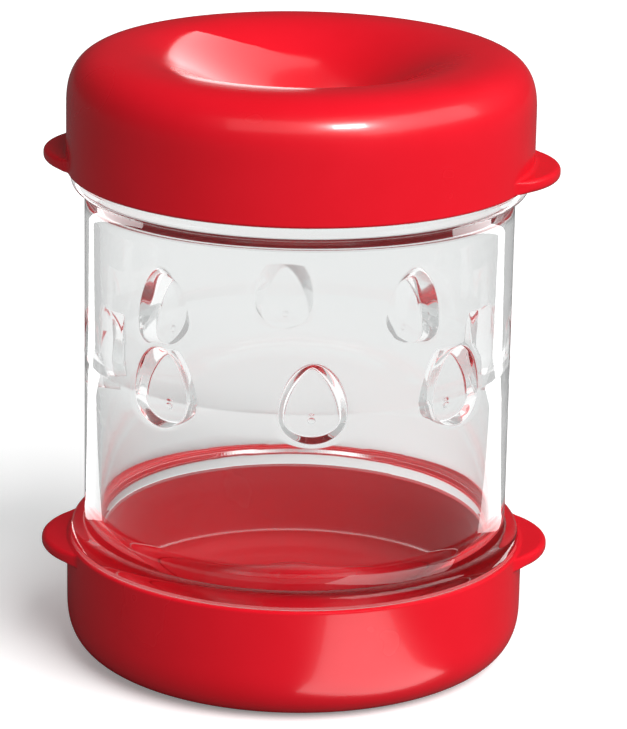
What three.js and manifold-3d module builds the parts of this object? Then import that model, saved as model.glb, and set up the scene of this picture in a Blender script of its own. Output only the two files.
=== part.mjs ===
// Boiled-egg peeler shaken by hand: a clear tube with drop-shaped nubs on its inner wall, closed at each end
// by the same press-on cap, which has a dished crown and two grip tabs at its rim.
// Millimetres, +Z up. The origin is on the table, under the middle of the base cap.
import * as THREE from 'three';
import Module from 'manifold-3d';
import { ConvexGeometry } from 'three/addons/geometries/ConvexGeometry.js';
import { mergeVertices } from 'three/addons/utils/BufferGeometryUtils.js';

const wasm = await Module();
wasm.setup();

// Whole peeler
const TOTAL_HEIGHT = 96.2;
const CONTACT_GAP = 0.3; // clearance left where two pieces meet
const FACETS = 48; // flats around every round surface

// Cap, measured from its crest (z = 0) to its open rim
const CAP_HEIGHT = 18.5;
const CAP_RADIUS = 36;
const CAP_BORE_RADIUS = 33.6;
const CAP_FLOOR = 2.2; // thickness of the crown
const CREST_INNER_RADIUS = 25.5; // the flat ring that the cap stands on
const CREST_OUTER_RADIUS = 28;
const DISH_DEPTH = 10.3; // hollow in the crown, which holds the egg's end on its inner side
const DISH_STEPS = 9;
const SHOULDER_HEIGHT = 8.8;
const SHOULDER_POWER = 2.8; // 2 would be an ellipse, and more is squarer
const SHOULDER_STEPS = 7;

// Grip tab
const TAB_REACH = 4;
const TAB_HALF_WIDTH = 12;
const TAB_THICKNESS = 2;
const TAB_DROP = 0.3; // step down from the rim to the tab
const TAB_ROOT_RADIUS = 34.8; // where the tab is buried in the cap's wall
const TAB_STEPS = 14;
const TOP_CAP_TURN = -8.8; // degrees that the top cap is turned on the tube

// Tube
const TUBE_RADIUS = 33.2;
const TUBE_BORE_RADIUS = 30.8;
const SPIGOT_LENGTH = 11; // hidden end that the cap presses onto
const FLANGE_RADIUS = 35.4;
const FLANGE_HEIGHT = 2.2; // the flange is a quarter round that ends at the tube's wall
const FLANGE_POWER = 3;
const FLANGE_STEPS = 6;

// Nub on the tube's bore
const NUB_COUNT = 8;
const NUB_FIRST_ANGLE = -86.8; // degrees from +X
const NUB_CENTRE_HEIGHT = 48.2;
const NUB_HALF_WIDTH = 5.25;
const NUB_TIP_HEIGHT = 7.5; // from the middle of the round end to the point
const NUB_FACE_RADIUS = 27; // distance of the flat face from the tube's axis
const NUB_ROOT_RADIUS = 32; // where the nub is buried in the tube's wall
const NUB_FACE_SCALE = 0.78; // size of the flat face against the nub's outline
const NUB_BEVEL_DEPTH = 2.6;
const NUB_ARC_STEPS = 14;

const radians = THREE.MathUtils.degToRad;

function toSolid(geometry) {
  geometry.deleteAttribute('normal');
  geometry.deleteAttribute('uv');
  const merged = mergeVertices(geometry, 1e-4);
  return new wasm.Manifold(new wasm.Mesh({
    numProp: 3,
    vertProperties: new Float32Array(merged.attributes.position.array),
    triVerts: new Uint32Array(merged.index.array),
  }));
}

function toGeometry(solid) {
  const mesh = solid.getMesh();
  const geometry = new THREE.BufferGeometry();
  geometry.setAttribute('position', new THREE.BufferAttribute(mesh.vertProperties, 3));
  geometry.setIndex(new THREE.BufferAttribute(mesh.triVerts, 1));
  geometry.computeVertexNormals();
  return geometry;
}

// Revolves an outline of [radius, height] points about +Z.
function revolve(outline) {
  const profile = outline.map(([radius, height]) => new THREE.Vector2(radius, height));
  return new THREE.LatheGeometry(profile, FACETS).rotateX(Math.PI / 2);
}

function steps(count, at) {
  return Array.from({ length: count + 1 }, (_, index) => at(index / count));
}

// Height of the crown's outer face at a distance from the axis: a smooth hollow inside the crest.
function dishHeight(radius) {
  return DISH_DEPTH * Math.cos((Math.PI * radius) / (2 * CREST_INNER_RADIUS)) ** 2;
}

// Quarter of a superellipse from the crest out to the wall.
function shoulder(innerRadius, outerRadius, low, high) {
  return steps(SHOULDER_STEPS, (part) => {
    const turn = (part * Math.PI) / 2;
    const across = Math.sin(turn) ** (2 / SHOULDER_POWER);
    const up = 1 - Math.cos(turn) ** (2 / SHOULDER_POWER);
    return [innerRadius + (outerRadius - innerRadius) * across, low + (high - low) * up];
  });
}

function capShell() {
  const crown = (lift) => steps(DISH_STEPS, (part) => {
    const radius = part * CREST_INNER_RADIUS;
    return [radius, lift + dishHeight(radius)];
  });
  const innerCrest = CREST_OUTER_RADIUS - CAP_FLOOR / 2;
  const outside = [...crown(0), ...shoulder(CREST_OUTER_RADIUS, CAP_RADIUS, 0, SHOULDER_HEIGHT)];
  const inside = [...crown(CAP_FLOOR), ...shoulder(innerCrest, CAP_BORE_RADIUS, CAP_FLOOR, SHOULDER_HEIGHT)];
  const rim = [[CAP_RADIUS, CAP_HEIGHT], [CAP_BORE_RADIUS, CAP_HEIGHT]];
  return toSolid(revolve([...outside, ...rim, ...inside.reverse()]));
}

// Flat lobe beside the rim: a parabola that starts and ends at the wall.
function gripTab() {
  const halfAngle = TAB_HALF_WIDTH / CAP_RADIUS;
  const point = (radius, angle) => new THREE.Vector2(radius * Math.cos(angle), radius * Math.sin(angle));
  const edge = steps(TAB_STEPS, (part) => {
    const side = 2 * part - 1;
    const radius = CAP_RADIUS + TAB_REACH * (1 - side ** 2);
    return point(radius, side * halfAngle);
  });
  const root = steps(TAB_STEPS, (part) => point(TAB_ROOT_RADIUS, (1 - 2 * part) * halfAngle));
  const lobe = new THREE.ExtrudeGeometry(new THREE.Shape([...edge, ...root]), {
    depth: TAB_THICKNESS,
    bevelEnabled: false,
  });
  return lobe.translate(0, 0, CAP_HEIGHT - TAB_DROP - TAB_THICKNESS);
}

function capGeometry() {
  const rightTab = toSolid(gripTab());
  const leftTab = toSolid(gripTab().rotateZ(Math.PI));
  return toGeometry(capShell().add(rightTab).add(leftTab));
}

// Outside of one half of the tube, from the spigot's end past the flange to the plain wall.
function tubeEndOutline() {
  const flangeFoot = CAP_HEIGHT + CONTACT_GAP;
  const flange = steps(FLANGE_STEPS, (part) => {
    const turn = (part * Math.PI) / 2;
    const across = Math.cos(turn) ** (2 / FLANGE_POWER);
    const up = Math.sin(turn) ** (2 / FLANGE_POWER);
    return [TUBE_RADIUS + (FLANGE_RADIUS - TUBE_RADIUS) * across, flangeFoot + FLANGE_HEIGHT * up];
  });
  return [[TUBE_RADIUS, CAP_HEIGHT - SPIGOT_LENGTH], [TUBE_RADIUS, flangeFoot], ...flange];
}

function tubeShell() {
  const lower = tubeEndOutline();
  const upper = lower.map(([radius, height]) => [radius, TOTAL_HEIGHT - height]).reverse();
  const bore = [[TUBE_BORE_RADIUS, upper.at(-1)[1]], [TUBE_BORE_RADIUS, lower[0][1]]];
  return toSolid(revolve([...lower, ...upper, ...bore, lower[0]]));
}

// Drop outline with its point up: most of a circle, and straight sides that meet at the tip.
function dropOutline() {
  const tangentTurn = Math.PI / 2 - Math.acos(NUB_HALF_WIDTH / NUB_TIP_HEIGHT);
  const arc = steps(NUB_ARC_STEPS, (part) => {
    const angle = tangentTurn - part * (Math.PI + 2 * tangentTurn);
    return new THREE.Vector2(Math.cos(angle), Math.sin(angle)).multiplyScalar(NUB_HALF_WIDTH);
  });
  return [...arc, new THREE.Vector2(0, NUB_TIP_HEIGHT)];
}

// The nub is the hull of its outline in the wall, the same outline at the bevel's foot, and its smaller flat face.
function nub(angle) {
  const layer = (radius, scale) => dropOutline().map(
    ({ x, y }) => new THREE.Vector3(radius, x * scale, y * scale),
  );
  const body = new ConvexGeometry([
    ...layer(NUB_ROOT_RADIUS, 1),
    ...layer(NUB_FACE_RADIUS + NUB_BEVEL_DEPTH, 1),
    ...layer(NUB_FACE_RADIUS, NUB_FACE_SCALE),
  ]);
  return body.translate(0, 0, NUB_CENTRE_HEIGHT).rotateZ(angle);
}

function tubeGeometry() {
  let tube = tubeShell();
  for (let index = 0; index < NUB_COUNT; index += 1) {
    tube = tube.add(toSolid(nub(radians(NUB_FIRST_ANGLE + (index * 360) / NUB_COUNT))));
  }
  return toGeometry(tube);
}

const red = new THREE.MeshStandardMaterial({ color: '#e01327', roughness: 0.3, metalness: 0 });
const clear = new THREE.MeshStandardMaterial({
  color: '#f2f6f6', roughness: 0.08, metalness: 0, transparent: true, opacity: 0.3,
});

function named(name, geometry, material) {
  const mesh = new THREE.Mesh(geometry, material);
  mesh.name = name;
  return mesh;
}

const peeler = new THREE.Group();
peeler.add(named('base_cap', capGeometry(), red), named('clear_tube', tubeGeometry(), clear));

const lid = new THREE.Group();
lid.position.z = TOTAL_HEIGHT;
lid.rotation.z = radians(TOP_CAP_TURN);
const topCap = named('top_cap', capGeometry(), red);
topCap.rotation.x = Math.PI; // crest up
lid.add(topCap);
peeler.add(lid);

export default peeler;
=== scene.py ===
"""Looks of a hand-shaken peeler for boiled eggs: two red caps and a clear tube with drop-shaped nubs.

Everything is in metres in the part's own frame: +Z up along the tube, the base cap's grip tabs along X.
"""
import math

import bmesh
import bpy
import numpy as np
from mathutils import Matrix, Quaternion, Vector


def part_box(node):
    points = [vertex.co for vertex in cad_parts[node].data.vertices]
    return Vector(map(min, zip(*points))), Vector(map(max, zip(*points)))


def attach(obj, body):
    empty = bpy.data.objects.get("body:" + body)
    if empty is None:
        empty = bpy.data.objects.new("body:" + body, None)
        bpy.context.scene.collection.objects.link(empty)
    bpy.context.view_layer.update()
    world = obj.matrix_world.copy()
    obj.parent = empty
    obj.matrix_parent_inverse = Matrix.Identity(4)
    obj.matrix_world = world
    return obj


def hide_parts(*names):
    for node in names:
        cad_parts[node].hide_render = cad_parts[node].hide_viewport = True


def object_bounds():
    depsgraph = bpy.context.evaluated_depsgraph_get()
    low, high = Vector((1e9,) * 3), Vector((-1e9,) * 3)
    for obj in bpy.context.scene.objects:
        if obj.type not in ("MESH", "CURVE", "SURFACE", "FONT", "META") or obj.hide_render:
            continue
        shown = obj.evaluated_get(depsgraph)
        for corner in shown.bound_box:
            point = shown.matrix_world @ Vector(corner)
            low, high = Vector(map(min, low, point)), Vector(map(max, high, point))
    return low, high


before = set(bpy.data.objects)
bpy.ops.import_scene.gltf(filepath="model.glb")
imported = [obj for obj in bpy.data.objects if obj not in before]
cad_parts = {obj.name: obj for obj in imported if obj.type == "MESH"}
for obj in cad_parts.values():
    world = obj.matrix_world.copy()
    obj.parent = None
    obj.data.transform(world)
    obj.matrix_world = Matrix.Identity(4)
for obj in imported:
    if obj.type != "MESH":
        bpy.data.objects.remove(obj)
cad_low, cad_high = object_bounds()

MM = 0.001

# Places read from the frame
_, base_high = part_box("base_cap")
tube_low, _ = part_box("clear_tube")
total_height = cad_high.z
cap_height = base_high.z
cap_radius = base_high.y
tab_radius = base_high.x

# Cap, measured from its crest to its rim
TOP_CAP_TURN = math.radians(-8.8)
CAP_COLUMNS = 360
CAP_WALL = 2.2 * MM
CAP_BORE_RADIUS = 33.18 * MM  # the tube's end is pressed against it
CREST_RADIUS = 27.0 * MM
DISH_DEPTH = 10.3 * MM
DISH_STEPS = 40
SHOULDER_HEIGHT = 8.8 * MM
SHOULDER_POWER = 2.8
SHOULDER_STEPS = 28
RIM_ROUNDING = 0.45 * MM
BORE_EDGE_ROUNDING = 0.15 * MM
TAB_THICKNESS = 2.0 * MM
TAB_DROP = 0.3 * MM  # step down from the rim to the tab
TAB_HALF_WIDTH = 12.0 * MM
TAB_ROUNDING = 0.8 * MM
TAB_FILLET = 0.6 * MM
TAB_DROP_FADE = 1.0 * MM  # the step is full where the tab reaches out this far
TAB_LEAD = 2.0 * MM  # plain wall above the tab, counted as part of the rim
TAB_ROWS = 64

# Tube
TUBE_RADIUS = 33.2 * MM
BORE_RADIUS = 30.8 * MM
FLANGE_RADIUS = 35.4 * MM
FLANGE_HEIGHT = 2.5 * MM  # from the rim to where the flange's round meets the wall
FLANGE_EDGE_HEIGHT = 0.3 * MM
FLANGE_POWER = 3
FLANGE_STEPS = 24
FLANGE_EDGE_ROUNDING = 0.15 * MM
FLANGE_ROOT_BEVEL = 0.2 * MM  # where the flange meets the part of the tube that the cap hides
BASE_PRESS = 0.02 * MM  # how far the lower flange sinks into its cap's rim, so that it takes on its colour
TOP_CLEARANCE = 0.03 * MM  # air between the upper flange and its cap's rim, so that the flange looks clear
TUBE_END_ROUNDING = 0.4 * MM
RING_MARGIN = 1.0 * MM  # from a bend in the tube to the next ring of points
WALL_RINGS = 8
WELD_DISTANCE = 0.001 * MM
SEAM_HEIGHT = 48.5 * MM
SEAM_RELIEF = 0.04 * MM
SEAM_HALF_WIDTH = 0.16 * MM

# Nubs on the tube's bore
NUB_COUNT = 8
NUB_FIRST_ANGLE = math.radians(-86.8)
NUB_HEIGHT = 48.1 * MM
NUB_FOOT = {"half_width": 5.1 * MM, "up": 7.95 * MM, "down": 4.7 * MM, "power": 2.0, "round": 0.5}
NUB_FACE = {"half_width": 3.8 * MM, "up": 7.85 * MM, "down": 2.6 * MM, "power": 1.45, "round": 0.65}
NUB_FACE_DROP = 1.5 * MM
NUB_FACE_RADIUS = 27.0 * MM
NUB_DOT_RADIUS = 0.55 * MM
NUB_DOT_RELIEF = 0.22 * MM
NUB_OUTSIDE_STEPS = 6
NUB_SIDE_PARTS = (0.03, 0.08, 0.14, 0.2, 0.4, 0.6, 0.8, 0.86, 0.92, 0.97, 1)
NUB_FACE_SCALES = (0.93, 0.8, 0.65, 0.5, 0.38)
NUB_DOT_PARTS = (1.15, 1, 0.96, 0.85, 0.65, 0.4, 0.15)
HALVINGS = 40  # of the search for the outline of a nub
PATCH_COLUMNS = 48
PATCH_ROWS = 32
PATCH_LOW = 39.5 * MM
PATCH_HIGH = 59.5 * MM

# Clear plastic: painted glow. Where a ray has bounced about inside it more often than this, the plastic
# gives off a faint grey light, though it is no lamp
TRAPPED_DEPTH = 2
PAINTED_GLOW = 0.35

# Lamps
SOFT_BOX_DISTANCE = 0.8
DISH_CARD_PLACE = Vector((-8 * MM, 16 * MM, total_height + 2.5 * MM))
DISH_CARD_SIZE = (20 * MM, 11 * MM)
FLOOR_HALF_SIZE = 3.0
FLOOR_CARD_HEIGHT = 0.5 * MM

# Camera
LENS_LENGTH = 179.8
SENSOR_WIDTH = 36
CAMERA_TARGET = (0, 0, 50 * MM)
CAMERA_AZIMUTH = -1.3
CAMERA_ELEVATION = 16.88
CAMERA_DISTANCE = 568.5 * MM
CAMERA_ROLL = math.radians(0.989)
CAMERA_PAN = -0.0043753  # small turns in radians that set the object off the middle of the picture
CAMERA_TILT = -0.0065724

# Sockets of a Mix node that mixes colours
MIX_FROM, MIX_TO, MIX_RESULT = 6, 7, 2


# ---------------------------------------------------------------- mesh helpers

def arc(centre, radii, start, end, steps):
    """Points of an elliptic arc as (radius, height) pairs, angles in degrees."""
    turns = np.radians(np.linspace(start, end, steps + 1))
    return [(centre[0] + radii[0] * math.cos(t), centre[1] + radii[1] * math.sin(t)) for t in turns]


def even_steps(points, count):
    """The same line walked in equal steps."""
    points = np.array(points)
    lengths = np.hypot(*np.diff(points, axis=0).T)
    along = np.concatenate([[0], np.cumsum(lengths)])
    wanted = np.linspace(0, along[-1], count)
    return np.stack([np.interp(wanted, along, points[:, i]) for i in (0, 1)], axis=1)


def quarter_round(power, steps):
    """Points of a superellipse's quarter as (across, up), from its top at (0, 1) to its side at (1, 0)."""
    turns = [math.pi / 2 * i / steps for i in range(steps + 1)]
    return [(math.sin(t) ** (2 / power), math.cos(t) ** (2 / power)) for t in turns]


def add_grid(bm, rows):
    """Quads between rows of points. Each row is a ring closed on itself."""
    made = [[bm.verts.new(p) for p in row] for row in rows]
    for low, high in zip(made, made[1:]):
        for i in range(len(low)):
            j = (i + 1) % len(low)
            bm.faces.new((low[i], low[j], high[j], high[i]))
    return made


def new_object(name, bm, material):
    """A smooth-shaded object made from bm, which is used up."""
    bmesh.ops.recalc_face_normals(bm, faces=bm.faces)
    for face in bm.faces:
        face.smooth = True
    mesh = bpy.data.meshes.new(name)
    bm.to_mesh(mesh)
    bm.free()
    mesh.materials.append(material)
    made = bpy.data.objects.new(name, mesh)
    bpy.context.scene.collection.objects.link(made)
    return made


# ---------------------------------------------------------------- caps

def dish_height(radius):
    """How far the crown lies below its crest, which is 0 at the crest and most in the middle."""
    return DISH_DEPTH * math.cos(math.pi * min(radius / CREST_RADIUS, 1) / 2) ** 2


def shoulder(inner, outer, low, high):
    """The bend from the crest to the upright wall, as (radius, height from the crest) points."""
    return [(inner + (outer - inner) * across, low + (high - low) * (1 - up))
            for across, up in quarter_round(SHOULDER_POWER, SHOULDER_STEPS)]


def crown(lift):
    """The hollow from near its middle to the crest. lift is 0 outside and the wall's thickness inside."""
    radii = np.linspace(0, CREST_RADIUS, DISH_STEPS + 1)[1:]
    return [(r, lift + dish_height(r)) for r in radii]


def rim_section(reach):
    """The wall's last stretch, the grip tab and the rim, as a line of TAB_ROWS points.

    The tab sticks out by reach. Its step and roundings shrink with it, so that it fades into the rim.
    """
    foot = cap_height - TAB_DROP - TAB_THICKNESS
    part = min(1, reach / TAB_DROP_FADE)
    drop = RIM_ROUNDING + (TAB_DROP - RIM_ROUNDING) * part
    fillet = min(TAB_FILLET, 0.45 * reach)
    rounding = min(TAB_ROUNDING, 0.5 * reach)
    edge = cap_radius + reach
    line = [(cap_radius, foot - TAB_LEAD), (cap_radius, foot - fillet)]
    line += arc((cap_radius + fillet, foot - fillet), (fillet, fillet), 180, 90, 6)
    line += arc((edge - rounding, foot + rounding), (rounding, rounding), -90, 0, 10)
    line += arc((edge - rounding, cap_height - drop - rounding), (rounding, rounding), 0, 90, 10)
    start = math.degrees(math.asin(1 - drop / RIM_ROUNDING))
    line += arc((cap_radius - RIM_ROUNDING, cap_height - RIM_ROUNDING), (RIM_ROUNDING,) * 2, start, 90, 8)
    bore_edge = (CAP_BORE_RADIUS + BORE_EDGE_ROUNDING, cap_height - BORE_EDGE_ROUNDING)
    line += arc(bore_edge, (BORE_EDGE_ROUNDING,) * 2, 90, 180, 4)
    return even_steps(line, TAB_ROWS)


def tab_reach(angle):
    """How far the rim swells outward at an angle: two parabolic lobes, at +X and at -X."""
    off = abs(math.remainder(angle, math.pi)) * cap_radius
    return (tab_radius - cap_radius) * max(0, 1 - (off / TAB_HALF_WIDTH) ** 2)


def cap_rows(place):
    """Rings of the cap from the middle of its crown, round its rim, to the middle of its inner side."""
    angles = [2 * math.pi * i / CAP_COLUMNS for i in range(CAP_COLUMNS)]
    outside = crown(0)[:-1] + shoulder(CREST_RADIUS, cap_radius, 0, SHOULDER_HEIGHT)
    inner_crest = CREST_RADIUS - CAP_WALL / 2
    inside = crown(CAP_WALL)[:-1] + shoulder(inner_crest, CAP_BORE_RADIUS, CAP_WALL, SHOULDER_HEIGHT)
    sections = [rim_section(tab_reach(a)) for a in angles]
    rows = [[place(r, a, z) for a in angles] for r, z in outside]
    for points in zip(*sections):
        rows.append([place(r, a, z) for a, (r, z) in zip(angles, points)])
    rows += [[place(r, a, z) for a in angles] for r, z in reversed(inside)]
    return rows


def make_cap(name, node, body, material, place):
    """One cap shell. place puts a (radius, angle, height from the crest) into the frame."""
    bm = bmesh.new()
    made = add_grid(bm, cap_rows(place))
    for ring, lift in ((made[0], 0), (made[-1], CAP_WALL)):
        middle = bm.verts.new(place(0, 0, DISH_DEPTH + lift))
        for i in range(CAP_COLUMNS):
            bm.faces.new((ring[i], ring[(i + 1) % CAP_COLUMNS], middle))
    cap = new_object(name, bm, material)
    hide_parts(node)
    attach(cap, body)
    return cap


def base_place(radius, angle, height):
    return (radius * math.cos(angle), radius * math.sin(angle), height)


def top_place(radius, angle, height):
    """The same cap turned over and round, with its crest at the top."""
    turned = TOP_CAP_TURN - angle
    return (radius * math.cos(turned), radius * math.sin(turned), total_height - height)


# ---------------------------------------------------------------- tube

def outline_reach(shape, direction):
    """Distance from the drop's middle to its outline in a direction. It narrows upward to a tip."""
    across, up = abs(math.cos(direction)), math.sin(direction)
    if up <= 0:
        return 1 / math.hypot(across / shape["half_width"], up / shape["down"])
    low, high = 0.0, max(shape["half_width"], shape["up"])
    for _ in range(HALVINGS):
        reach = (low + high) / 2
        rise = min(1, reach * up / shape["up"])
        half_width = shape["half_width"] * (1 - rise ** shape["power"]) ** shape["round"]
        if reach * across < half_width and rise < 1:
            low = reach
        else:
            high = reach
    return low


def eased(part, ease=0.2):
    """0 to 1 in a straight line with a short curve at each end."""
    slope = 1 / (1 - ease)
    if part < ease:
        return slope * part * part / (2 * ease)
    if part > 1 - ease:
        return 1 - slope * (1 - part) ** 2 / (2 * ease)
    return slope * (part - ease / 2)


def patch_border():
    """The sector's border as (across, up) points about the nub's middle, walked once round."""
    turns = np.linspace(-math.pi / NUB_COUNT, math.pi / NUB_COUNT, PATCH_COLUMNS + 1)
    across = BORE_RADIUS * np.sin(turns)
    up = np.linspace(PATCH_LOW, PATCH_HIGH, PATCH_ROWS + 1) - NUB_HEIGHT
    border = [(s, up[0]) for s in across[:-1]]
    border += [(across[-1], h) for h in up[:-1]]
    border += [(s, up[-1]) for s in across[:0:-1]]
    border += [(across[0], h) for h in up[:0:-1]]
    return border


def nub_rings():
    """Rings of (across, up, distance from the axis) from a sector's border to the middle of its nub."""
    border = patch_border()
    directions = [math.atan2(h, s) for s, h in border]
    foot = [outline_reach(NUB_FOOT, d) for d in directions]
    face = [outline_reach(NUB_FACE, d) for d in directions]

    def wall_depth(s):
        return math.sqrt(BORE_RADIUS ** 2 - s ** 2)

    def ring(point):
        return [point(i, math.cos(d), math.sin(d)) for i, d in enumerate(directions)]

    def outside(part):
        def point(i, c, s):
            x = border[i][0] * (1 - part) + foot[i] * c * part
            y = border[i][1] * (1 - part) + foot[i] * s * part
            return (x, y, wall_depth(x))
        return ring(point)

    def side(part):
        def point(i, c, s):
            x = foot[i] * c * (1 - part) + face[i] * c * part
            y = foot[i] * s * (1 - part) + (face[i] * s - NUB_FACE_DROP) * part
            raised = eased(part)
            return (x, y, wall_depth(x) * (1 - raised) + NUB_FACE_RADIUS * raised)
        return ring(point)

    def inside(scale):
        def point(i, c, s):
            return (face[i] * c * scale, face[i] * s * scale - NUB_FACE_DROP, NUB_FACE_RADIUS)
        return ring(point)

    def dot(radius):
        rise = NUB_DOT_RELIEF * math.sqrt(1 - min(1, radius / NUB_DOT_RADIUS) ** 2)
        return ring(lambda i, c, s: (radius * c, radius * s - NUB_FACE_DROP, NUB_FACE_RADIUS - rise))

    rings = [outside(part) for part in np.linspace(0, 1, NUB_OUTSIDE_STEPS + 1)]
    rings += [side(part) for part in NUB_SIDE_PARTS]
    rings += [inside(scale) for scale in NUB_FACE_SCALES]
    rings += [dot(NUB_DOT_RADIUS * part) for part in NUB_DOT_PARTS]
    return rings


def add_nub_sector(bm, angle, rings):
    """A sector of the bore with the nub in its middle, at an angle about Z."""
    out = (math.cos(angle), math.sin(angle))

    def place(point):
        s, h, depth = point
        return (depth * out[0] - s * out[1], depth * out[1] + s * out[0], NUB_HEIGHT + h)

    made = add_grid(bm, [[place(p) for p in ring] for ring in rings])
    last = made[-1]
    centre = bm.verts.new(place((0, -NUB_FACE_DROP, NUB_FACE_RADIUS - NUB_DOT_RELIEF)))
    for i in range(len(last)):
        bm.faces.new((last[i], last[(i + 1) % len(last)], centre))


def tube_end(side):
    """Outline of one end of the tube, from the wall beside the flange to the bore. side is 1 up, -1 down."""
    rim = cap_height + TOP_CLEARANCE if side > 0 else cap_height - BASE_PRESS
    foot = cap_height + FLANGE_HEIGHT
    edge = cap_height + FLANGE_EDGE_HEIGHT
    line = [(TUBE_RADIUS + (FLANGE_RADIUS - TUBE_RADIUS) * across, edge + (foot - edge) * up)
            for across, up in quarter_round(FLANGE_POWER, FLANGE_STEPS)]
    flange_edge = (FLANGE_RADIUS - FLANGE_EDGE_ROUNDING, rim + FLANGE_EDGE_ROUNDING)
    line += arc(flange_edge, (FLANGE_EDGE_ROUNDING,) * 2, 0, -90, 4)
    line += [(TUBE_RADIUS + FLANGE_ROOT_BEVEL, rim), (TUBE_RADIUS, rim - FLANGE_ROOT_BEVEL)]
    end = tube_low.z + TUBE_END_ROUNDING
    line += [(TUBE_RADIUS, rim - RING_MARGIN), (TUBE_RADIUS, end + RING_MARGIN)]
    line += arc((TUBE_RADIUS - TUBE_END_ROUNDING, end), (TUBE_END_ROUNDING,) * 2, 0, -90, 5)
    line += arc((BORE_RADIUS + TUBE_END_ROUNDING, end), (TUBE_END_ROUNDING,) * 2, -90, -180, 5)
    if side > 0:
        return [(r, total_height - z) for r, z in line]
    return line


def upright(radius, start, end):
    """Evenly spaced points up or down a plain wall, its two ends included."""
    return [(radius, z) for z in np.linspace(start, end, WALL_RINGS)]


def tube_outline():
    """Outline of the tube from the bore above the nubs, over its outside, to the bore below the nubs."""
    seam = [(TUBE_RADIUS, SEAM_HEIGHT + SEAM_HALF_WIDTH), (TUBE_RADIUS + SEAM_RELIEF, SEAM_HEIGHT),
            (TUBE_RADIUS, SEAM_HEIGHT - SEAM_HALF_WIDTH)]
    upper = tube_end(1)[::-1]
    lower = tube_end(-1)
    between_high = upright(TUBE_RADIUS, upper[-1][1], seam[0][1])[1:-1]
    between_low = upright(TUBE_RADIUS, seam[-1][1], lower[0][1])[1:-1]
    bore_high = upright(BORE_RADIUS, PATCH_HIGH, upper[0][1])[:-1]
    bore_low = upright(BORE_RADIUS, lower[-1][1], PATCH_LOW)[1:]
    return bore_high + upper + between_high + seam + between_low + lower + bore_low


def make_tube(material):
    """The tube as one closed skin: its outline swept round, and a sector of bore for each nub."""
    bm = bmesh.new()
    columns = NUB_COUNT * PATCH_COLUMNS
    start = NUB_FIRST_ANGLE - math.pi / NUB_COUNT
    angles = [start + 2 * math.pi * i / columns for i in range(columns)]
    add_grid(bm, [[(r * math.cos(a), r * math.sin(a), z) for a in angles] for r, z in tube_outline()])
    rings = nub_rings()
    for i in range(NUB_COUNT):
        add_nub_sector(bm, NUB_FIRST_ANGLE + 2 * math.pi * i / NUB_COUNT, rings)
    bmesh.ops.remove_doubles(bm, verts=bm.verts, dist=WELD_DISTANCE)
    tube = new_object("tube_with_nubs", bm, material)
    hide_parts("clear_tube")
    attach(tube, "tube")
    return tube


# ---------------------------------------------------------------- materials

def new_material(name):
    """A material with one Principled shader. Returns it with its nodes, its links and that shader."""
    material = bpy.data.materials.new(name)
    material.use_nodes = True
    nodes = material.node_tree.nodes
    nodes.clear()
    output = nodes.new("ShaderNodeOutputMaterial")
    shader = nodes.new("ShaderNodeBsdfPrincipled")
    material.node_tree.links.new(shader.outputs["BSDF"], output.inputs["Surface"])
    return material, nodes, material.node_tree.links, shader


def grey(value):
    return (value, value, value, 1)


def noise(nodes, links, scale, detail=2.0):
    place = nodes.new("ShaderNodeTexCoord")
    texture = nodes.new("ShaderNodeTexNoise")
    texture.inputs["Scale"].default_value = scale
    texture.inputs["Detail"].default_value = detail
    links.new(place.outputs["Object"], texture.inputs["Vector"])
    return texture.outputs["Fac"]


def spread(nodes, links, source, low, high):
    """Noise stretched from its usual range to low..high."""
    remap = nodes.new("ShaderNodeMapRange")
    remap.interpolation_type = "SMOOTHSTEP"
    remap.inputs["From Min"].default_value = 0.2
    remap.inputs["From Max"].default_value = 0.8
    remap.inputs["To Min"].default_value = low
    remap.inputs["To Max"].default_value = high
    links.new(source, remap.inputs["Value"])
    return remap.outputs["Result"]


def uneven(nodes, links, shader, scale, strength, depth):
    """Gives the surface a faint waviness."""
    bump = nodes.new("ShaderNodeBump")
    bump.inputs["Strength"].default_value = strength
    bump.inputs["Distance"].default_value = depth
    links.new(noise(nodes, links, scale), bump.inputs["Height"])
    links.new(bump.outputs["Normal"], shader.inputs["Normal"])


def red_plastic():
    """Glossy moulded plastic, slightly uneven in its colour, its gloss and the flatness of its polish."""
    material, nodes, links, shader = new_material("red_plastic")
    ramp = nodes.new("ShaderNodeValToRGB")
    ramp.color_ramp.interpolation = "EASE"
    deep, bright = ramp.color_ramp.elements
    deep.position, bright.position = 0.2, 0.8
    deep.color = (0.69, 0.0045, 0.014, 1)
    bright.color = (0.73, 0.006, 0.018, 1)
    links.new(noise(nodes, links, 70, 3), ramp.inputs["Fac"])
    links.new(ramp.outputs["Color"], shader.inputs["Base Color"])
    links.new(spread(nodes, links, noise(nodes, links, 60, 3), 0.24, 0.28), shader.inputs["Roughness"])
    shader.inputs["Specular IOR Level"].default_value = 0.32
    shader.inputs["IOR"].default_value = 1.5
    shader.inputs["Coat Weight"].default_value = 0.15
    shader.inputs["Coat Roughness"].default_value = 0.07
    uneven(nodes, links, shader, 180, 0.15, 0.01 * MM)
    return material


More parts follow.
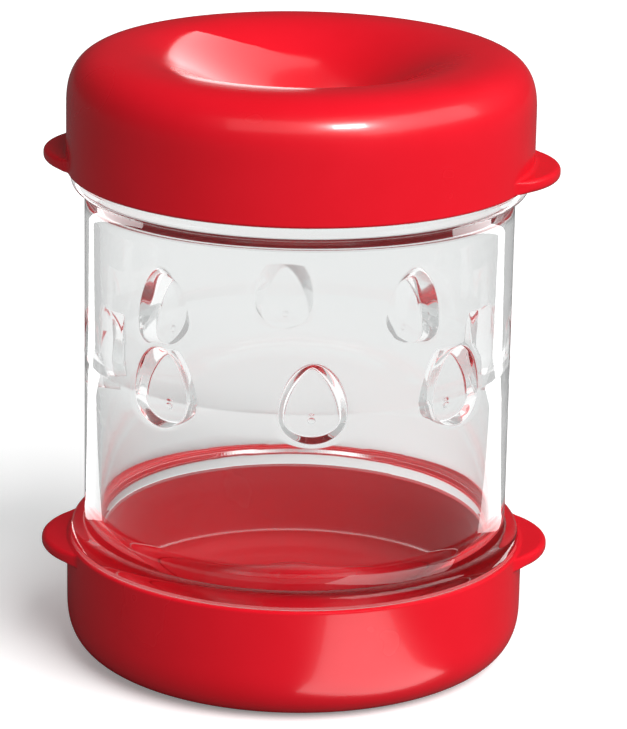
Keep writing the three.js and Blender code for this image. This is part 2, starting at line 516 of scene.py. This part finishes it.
def clear_plastic():
    """Polished clear plastic that lets lamp light straight through to what stands inside it."""
    material, nodes, links, shader = new_material("clear_plastic")
    shader.inputs["Base Color"].default_value = (0.985, 0.995, 0.993, 1)
    shader.inputs["Transmission Weight"].default_value = 1.0
    shader.inputs["IOR"].default_value = 1.49
    links.new(spread(nodes, links, noise(nodes, links, 700, 3), 0.0, 0.035), shader.inputs["Roughness"])
    uneven(nodes, links, shader, 150, 0.12, 0.02 * MM)
    # Painted glow: the plastic gives off a faint grey light where a ray has bounced inside it more than
    # TRAPPED_DEPTH times
    rays = nodes.new("ShaderNodeLightPath")
    trapped = nodes.new("ShaderNodeMath")
    trapped.operation = "GREATER_THAN"
    trapped.inputs[1].default_value = TRAPPED_DEPTH
    links.new(rays.outputs["Glossy Depth"], trapped.inputs[0])
    links.new(trapped.outputs[0], shader.inputs["Emission Strength"])
    shader.inputs["Emission Color"].default_value = grey(PAINTED_GLOW)
    through = nodes.new("ShaderNodeBsdfTransparent")
    through.inputs["Color"].default_value = (0.80, 0.82, 0.82, 1)
    mix = nodes.new("ShaderNodeMixShader")
    links.new(rays.outputs["Is Shadow Ray"], mix.inputs["Fac"])
    links.new(shader.outputs["BSDF"], mix.inputs[1])
    links.new(through.outputs["BSDF"], mix.inputs[2])
    links.new(mix.outputs["Shader"], nodes["Material Output"].inputs["Surface"])
    return material


def by_ray(nodes, links, seen, through, echoed, mirrored, fill):
    """A grey that depends on how it is met.

    It is seen straight, through something clear, after bouncing about in something clear, in a mirror, or
    as light in the shade. Where several hold, the last of these counts.
    """
    rays = nodes.new("ShaderNodeLightPath")
    choices = (("Is Transmission Ray", through), ("Glossy Depth", echoed),
               ("Is Reflection Ray", mirrored), ("Diffuse Depth", fill))
    outcome = None
    for ray, value in choices:
        mix = nodes.new("ShaderNodeMix")
        mix.data_type = "RGBA"
        mix.inputs[MIX_FROM].default_value = grey(seen)
        mix.inputs[MIX_TO].default_value = grey(value)
        links.new(rays.outputs[ray], mix.inputs["Factor"])
        if outcome:
            links.new(outcome, mix.inputs[MIX_FROM])
        outcome = mix.outputs[MIX_RESULT]
    return outcome


def floor_material():
    """White paper that throws less light back at the object than it shows."""
    material, nodes, links, shader = new_material("pale_paper")
    paper = by_ray(nodes, links, seen=0.95, through=0.71, echoed=0.50, mirrored=0.10, fill=0.30)
    links.new(paper, shader.inputs["Base Color"])
    glow = by_ray(nodes, links, seen=0.22, through=0.10, echoed=0.07, mirrored=0.0, fill=0.0)
    links.new(glow, shader.inputs["Emission Color"])
    shader.inputs["Emission Strength"].default_value = 1.0
    shader.inputs["Roughness"].default_value = 0.9
    shader.inputs["Specular IOR Level"].default_value = 0.0
    return material


# ---------------------------------------------------------------- floor, light and camera

def make_floor():
    bm = bmesh.new()
    bmesh.ops.create_grid(bm, x_segments=8, y_segments=8, size=FLOOR_HALF_SIZE)
    floor = new_object("floor", bm, floor_material())


def aim(thing, place, target):
    """Puts a lamp or camera at place, facing target."""
    thing.location = place
    thing.rotation_mode = "QUATERNION"
    thing.rotation_quaternion = (Vector(target) - Vector(place)).to_track_quat("-Z", "Y")


def around(azimuth, elevation, distance, centre):
    """The point at an azimuth and elevation in degrees from centre. 0 is the front, 90 the right side."""
    a, e = math.radians(azimuth), math.radians(elevation)
    flat = distance * math.cos(e)
    return Vector(centre) + Vector((flat * math.sin(a), -flat * math.cos(a), distance * math.sin(e)))


def add_lamp(name, light, power, diffuse, glossy, lit=()):
    """Puts a lamp in the studio. It gives soft light or highlights, to the pieces lit or to everything."""
    light.energy = power
    lamp = bpy.data.objects.new(name, light)
    bpy.context.scene.collection.objects.link(lamp)
    lamp.visible_camera = False
    lamp.visible_transmission = False
    lamp.visible_diffuse = diffuse
    lamp.visible_glossy = glossy
    if lit:
        receivers = bpy.data.collections.new(name + "_lights_these")
        for piece in lit:
            receivers.objects.link(piece)
        lamp.light_linking.receiver_collection = receivers
    return lamp


def sky_lamp(name, azimuth, elevation, power, spread_angle):
    """A broad far lamp that lights everything and shows no highlight."""
    light = bpy.data.lights.new(name, "SUN")
    light.angle = math.radians(spread_angle)
    lamp = add_lamp(name, light, power, True, False)
    aim(lamp, around(azimuth, elevation, 1, (0, 0, 0)), (0, 0, 0))


def card(name, lit, place, target, size, brightness, round_edge=False):
    """A bright sheet that shows only as a highlight. size is its width and height."""
    light = bpy.data.lights.new(name, "AREA")
    light.shape = "ELLIPSE" if round_edge else "RECTANGLE"
    light.size, light.size_y = size
    lamp = add_lamp(name, light, brightness * math.pi * size[0] * size[1], False, True, lit)
    aim(lamp, place, target)
    return lamp


def soft_box(name, lit, azimuth, elevation, angles, brightness):
    """A far card, whose width and height are given as angles seen from the object."""
    centre = (0, 0, total_height)
    size = [2 * SOFT_BOX_DISTANCE * math.tan(math.radians(angle) / 2) for angle in angles]
    card(name, lit, around(azimuth, elevation, SOFT_BOX_DISTANCE, centre), centre, size, brightness)


def floor_card(name, lit, start, azimuth, near, far, width, brightness):
    """A card lying on the floor, which an upright wall at start mirrors as an upright band."""
    place = around(azimuth, 0, (near + far) / 2, (*start, FLOOR_CARD_HEIGHT))
    lamp = card(name, lit, place, place + Vector((0, 0, 1)), (width, far - near), brightness)
    lamp.rotation_mode = "XYZ"
    lamp.rotation_euler = (math.pi, 0, math.radians(azimuth))


def make_lights(base_cap, top_cap, tube):
    sky_lamp("key_light", 38, 40, 3.9, 50)
    sky_lamp("side_light", 115, 30, 0.6, 50)
    soft_box("shoulder_glow_right", (top_cap, tube), 62, 34, (66, 34), 2.9)
    soft_box("shoulder_glow_left", (top_cap,), -14, 36, (44, 30), 1.8)
    soft_box("shoulder_glint", (top_cap,), 24, 36, (15, 10), 80)
    front = DISH_CARD_PLACE + Vector((0, -1, 0))
    card("dish_glow", (top_cap,), DISH_CARD_PLACE, front, DISH_CARD_SIZE, 2.0, round_edge=True)
    floor_card("base_band", (base_cap,), (0, 0), 24, 38 * MM, 100 * MM, 34 * MM, 4.2)
    floor_card("tube_band_left", (tube,), (-31.9 * MM, -9.2 * MM), -149, 55 * MM, 420 * MM, 44 * MM, 2.6)
    floor_card("tube_band_right", (tube,), (30.8 * MM, -12.4 * MM), 136, 55 * MM, 420 * MM, 46 * MM, 3.0)
    world = bpy.data.worlds.new("studio")
    world.use_nodes = True
    nodes, links = world.node_tree.nodes, world.node_tree.links
    sky = by_ray(nodes, links, seen=0.95, through=0.80, echoed=0.52, mirrored=0.05, fill=0.24)
    links.new(sky, nodes["Background"].inputs["Color"])
    bpy.context.scene.world = world
    bpy.context.scene.view_settings.view_transform = "Standard"


def make_camera():
    """A long lens a little above the object."""
    lens = bpy.data.cameras.new("camera")
    lens.lens = LENS_LENGTH
    lens.sensor_width = SENSOR_WIDTH
    camera = bpy.data.objects.new("camera", lens)
    bpy.context.scene.collection.objects.link(camera)
    aim(camera, around(CAMERA_AZIMUTH, CAMERA_ELEVATION, CAMERA_DISTANCE, CAMERA_TARGET), CAMERA_TARGET)
    roll = Quaternion((0, 0, 1), CAMERA_ROLL)
    pan = Quaternion((0, 1, 0), CAMERA_PAN)
    tilt = Quaternion((1, 0, 0), CAMERA_TILT)
    camera.rotation_quaternion = camera.rotation_quaternion @ roll @ pan @ tilt
    bpy.context.scene.camera = camera


red = red_plastic()
base_cap = make_cap("base_cap_shell", "base_cap", "base", red, base_place)
top_cap = make_cap("top_cap_shell", "top_cap", "lid", red, top_place)
tube = make_tube(clear_plastic())
make_floor()
make_lights(base_cap, top_cap, tube)
make_camera()
